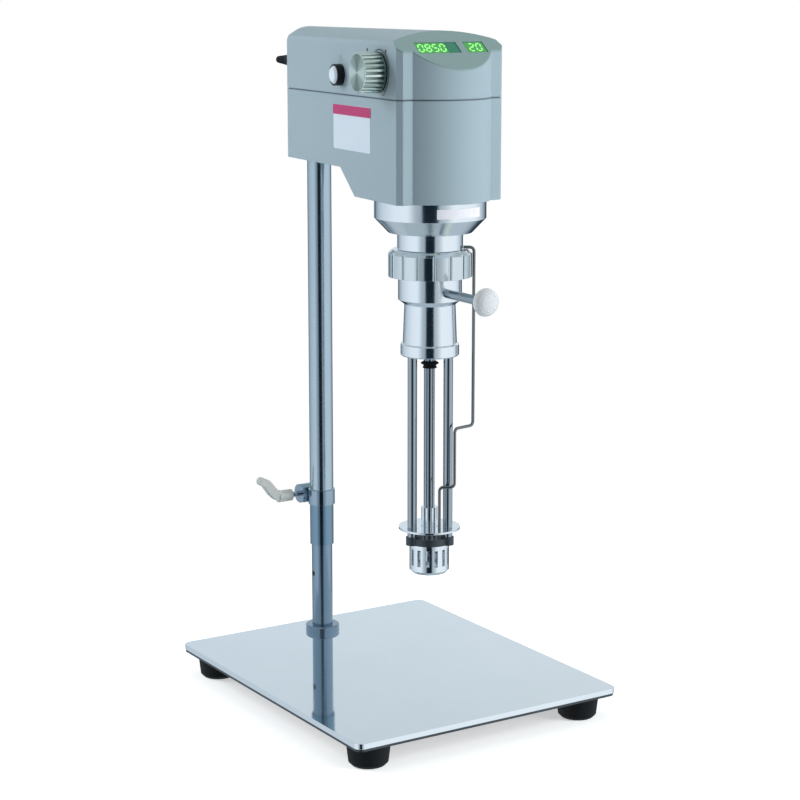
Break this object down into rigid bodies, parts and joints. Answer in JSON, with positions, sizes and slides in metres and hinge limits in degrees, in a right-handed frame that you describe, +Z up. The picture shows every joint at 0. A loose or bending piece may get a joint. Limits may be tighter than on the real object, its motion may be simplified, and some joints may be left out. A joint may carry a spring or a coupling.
{
  "type": "high-shear homogenizer",
  "caption": "Bench high-shear homogenizer: motor head with display on a clamped sliding column over a polished base plate, with rotor-stator work head and baffle disc.",
  "frame": {"origin": "bench level under the feet, at the middle of the bounding box in plan", "axes": "+Z up along the column and the mixing axis; -Y towards the operator, who faces the work head; +X to the operator's right"},
  "size_m": [0.3, 0.3754, 0.673],
  "materials": {
    "mirror_steel": "mirror-polished stainless sheet",
    "chrome": "polished",
    "turned_steel": "finely turned stainless steel",
    "dark_steel": "dark satin",
    "zinc_screw": "zinc plated",
    "cast_lever": "pale satin paint on a die casting",
    "cast_aluminium": "as cast",
    "housing_paint": "fine satin paint, grey-green",
    "panel_black": "satin film",
    "display": "green display window",
    "black_plastic": "moulded",
    "white_plastic": "moulded, soft gloss",
    "black_rubber": "matt",
    "knob_metal": "satin with ribs",
    "winding": "laminations and lacquered copper",
    "brass_parts": "bright",
    "board": "circuit board"
  },
  "bodies": {
    "stand": {"base_skin": "mirror_steel", "base_core": "dark_steel", "foot_front_left": "black_rubber", "foot_front_right": "black_rubber", "foot_rear_left": "black_rubber", "foot_rear_right": "black_rubber", "foot_screws": "zinc_screw", "post": "chrome", "post_collar": "chrome", "post_bolt": "zinc_screw", "post_stop_screw": "dark_steel"},
    "column": {"column_tube": "chrome", "clamp_band": "chrome", "clamp_nut": "zinc_screw"},
    "clamp_handle": {"clamp_lever": "cast_lever", "clamp_screw": "chrome"},
    "drive": {"armature": "winding", "commutator": "brass_parts", "motor_shaft": "turned_steel", "cooling_fan": "black_plastic", "shaft_coupling": "dark_steel", "drive_shaft": "chrome", "shaft_slinger": "black_rubber", "rotor": "turned_steel", "rotor_nut": "turned_steel"},
    "coupling_nut": {"union_nut": "turned_steel"},
    "baffle": {"baffle_disc": "mirror_steel", "lift_wire": "chrome"},
    "knob": {"speed_knob": "knob_metal"},
    "button": {"power_button": "white_plastic"},
    "head": {"lower_housing": "housing_paint", "top_cover": "housing_paint", "display_panel": "panel_black", "speed_display": "display", "time_display": "display", "knob_scale": "panel_black", "switch_bezel": "black_plastic", "switch_body": "black_plastic", "cable_gland": "black_plastic", "cable_boot": "black_rubber", "head_chassis": "cast_aluminium", "chassis_screws": "zinc_screw", "motor_flange": "turned_steel", "motor_can": "cast_aluminium", "motor_field": "winding", "motor_end_cap": "cast_aluminium", "motor_bearings": "turned_steel", "brush_gear": "brass_parts", "speed_control": "zinc_screw", "control_board": "board", "display_board": "board", "work_head": "turned_steel", "head_bearing": "turned_steel", "support_rods": "chrome", "rod_screws": "turned_steel", "stator_plate": "dark_steel", "stator": "turned_steel", "bearing_housing": "turned_steel", "handle_rod": "chrome", "handle_knob": "white_plastic"}
  },
  "joints": [
    {"name": "height_slide", "type": "slide", "parent": "stand", "child": "column", "axis": [0, 0, 1], "range_m": [-0.085, 0.2]},
    {"name": "head_swivel", "type": "hinge", "parent": "column", "child": "head", "pos_m": [0, 0.13375, 0.56], "axis": [0, 0, 1], "range_deg": [-180, 180]},
    {"name": "clamp_turn", "type": "hinge", "parent": "column", "child": "clamp_handle", "pos_m": [-0.0255, 0.15525, 0.18], "axis": [-1, 0, 0], "range_deg": [0, 120]},
    {"name": "rotor_spin", "type": "hinge", "parent": "head", "child": "drive", "pos_m": [0, -0.07625, 0.4], "axis": [0, 0, 1], "continuous": true},
    {"name": "union_turn", "type": "hinge", "parent": "head", "child": "coupling_nut", "pos_m": [0, -0.07625, 0.45], "axis": [0, 0, -1], "range_deg": [0, 60]},
    {"name": "baffle_lift", "type": "slide", "parent": "head", "child": "baffle", "axis": [0, 0, 1], "range_m": [0, 0.01]},
    {"name": "speed_turn", "type": "hinge", "parent": "head", "child": "knob", "pos_m": [-0.05474, -0.0746, 0.6352], "axis": [-0.9927, 0.1206, 0], "range_deg": [-270, 0]},
    {"name": "power_press", "type": "slide", "parent": "head", "child": "button", "axis": [0.9927, -0.1206, 0], "range_m": [0, 0.003], "stiffness_N_per_m": 400}
  ]
}
